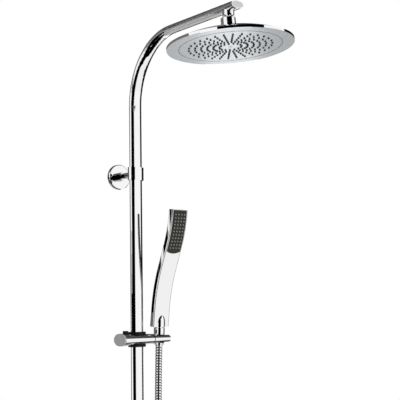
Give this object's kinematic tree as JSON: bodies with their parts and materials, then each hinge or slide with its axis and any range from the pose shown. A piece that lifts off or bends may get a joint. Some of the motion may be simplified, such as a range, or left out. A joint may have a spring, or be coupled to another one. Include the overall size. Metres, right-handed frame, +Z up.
{
  "type": "shower set",
  "caption": "Chrome shower column with a round rain head on a ball joint, a sliding holder on the oval riser, a curved stick handset and a ribbed metal hose",
  "frame": {"origin": "centre of the wall inlet on the wall plane", "axes": "+Y into the wall along the wall inlet, +Z up along the riser, +X to the right of a person who faces the wall"},
  "size_m": [0.23, 0.5056, 1.4555],
  "materials": {
    "chrome": "polished",
    "satin_chrome": "satin",
    "brass": "machined",
    "steel": "machined",
    "black_rubber": "matte",
    "black_plastic": "matte",
    "dark_face": "satin",
    "pale_rubber": "matte",
    "inner_plastic": "plain"
  },
  "bodies": {
    "column": {"riser_pipe": "chrome", "arm_end_plug": "chrome", "riser_foot": "brass", "riser_o_rings": "black_rubber", "diverter_body": "chrome", "riser_grub_screw": "steel", "inlet_stem": "brass", "inlet_seal": "black_rubber", "lower_wall_rosette": "chrome", "diverter_cartridge": "inner_plastic", "spindle_o_ring": "black_rubber", "cartridge_nut": "brass", "hose_outlet_nipple": "brass", "hose_lower_washer": "black_rubber", "hose_lower_insert": "brass", "hose_lower_nut": "chrome", "riser_collar": "chrome", "bracket_stem": "chrome", "stem_grub_screw": "steel", "upper_wall_rosette": "chrome", "upper_wall_plate": "steel", "upper_wall_screws": "steel", "arm_outlet_stub": "chrome", "ball_stud": "chrome", "hose": "chrome"},
    "knob": {"diverter_spindle": "brass", "diverter_knob": "chrome", "knob_screw": "steel"},
    "slip_ring": {"ball_ring": "inner_plastic"},
    "head": {"head_union_nut": "chrome", "head_top_shell": "chrome", "ball_seal": "black_rubber", "head_rim_ring": "chrome", "head_face_plate": "satin_chrome", "head_nozzle_mat": "black_rubber", "head_back_plate": "inner_plastic", "head_centre_screw": "steel"},
    "slider": {"slider_body": "chrome", "slider_end_cap": "satin_chrome", "slider_bush_upper": "black_plastic", "slider_bush_lower": "black_plastic", "button_spring": "steel", "clamp_shoe": "black_plastic", "holder_washer": "black_plastic"},
    "button": {"lock_button": "black_plastic"},
    "holder": {"handset_holder": "chrome", "holder_friction_ring": "black_rubber", "holder_liner": "black_plastic"},
    "hose_end": {"hose_cone_nut": "chrome", "hose_upper_insert": "brass", "hose_upper_washer": "black_rubber"},
    "handset": {"handset_body": "chrome", "handset_top_cap": "chrome", "handset_connector": "chrome", "spray_chamber": "inner_plastic", "handset_waterway": "inner_plastic", "spray_face": "dark_face", "spray_nozzles": "pale_rubber"}
  },
  "joints": [
    {"name": "diverter_turn", "type": "hinge", "parent": "column", "child": "knob", "pos_m": [0, -0.065, 0], "axis": [0, -1, 0], "range_deg": [-90, 90]},
    {"name": "head_swivel", "type": "hinge", "parent": "column", "child": "slip_ring", "pos_m": [0, -0.366, 1.0504], "axis": [-0.0348, 0.0628, 0.9974], "continuous": true},
    {"name": "head_tilt", "type": "hinge", "parent": "slip_ring", "child": "head", "pos_m": [0, -0.366, 1.0504], "axis": [0.9994, 0, 0.0349], "range_deg": [-10, 10]},
    {"name": "slider_slide", "type": "slide", "parent": "column", "child": "slider", "axis": [0, 0, 1], "range_m": [-0.2, 0.2], "deforming": ["hose"]},
    {"name": "button_press", "type": "slide", "parent": "slider", "child": "button", "axis": [0, 0, -1], "range_m": [0, 0.003], "stiffness_N_per_m": 600, "springref_m": -0.002, "deforming": ["button_spring"]},
    {"name": "holder_tilt", "type": "hinge", "parent": "slider", "child": "holder", "pos_m": [0, -0.065, 0.48], "axis": [1, 0, 0], "range_deg": [-4, 25], "deforming": ["hose"]},
    {"name": "handset_lift", "type": "slide", "parent": "holder", "child": "hose_end", "axis": [0, -0.0523, 0.9986], "range_m": [0, 0.05], "deforming": ["hose"]},
    {"name": "handset_turn", "type": "hinge", "parent": "hose_end", "child": "handset", "pos_m": [0.0532, -0.065, 0.48], "axis": [0, -0.0523, 0.9986], "range_deg": [-45, 90]}
  ]
}
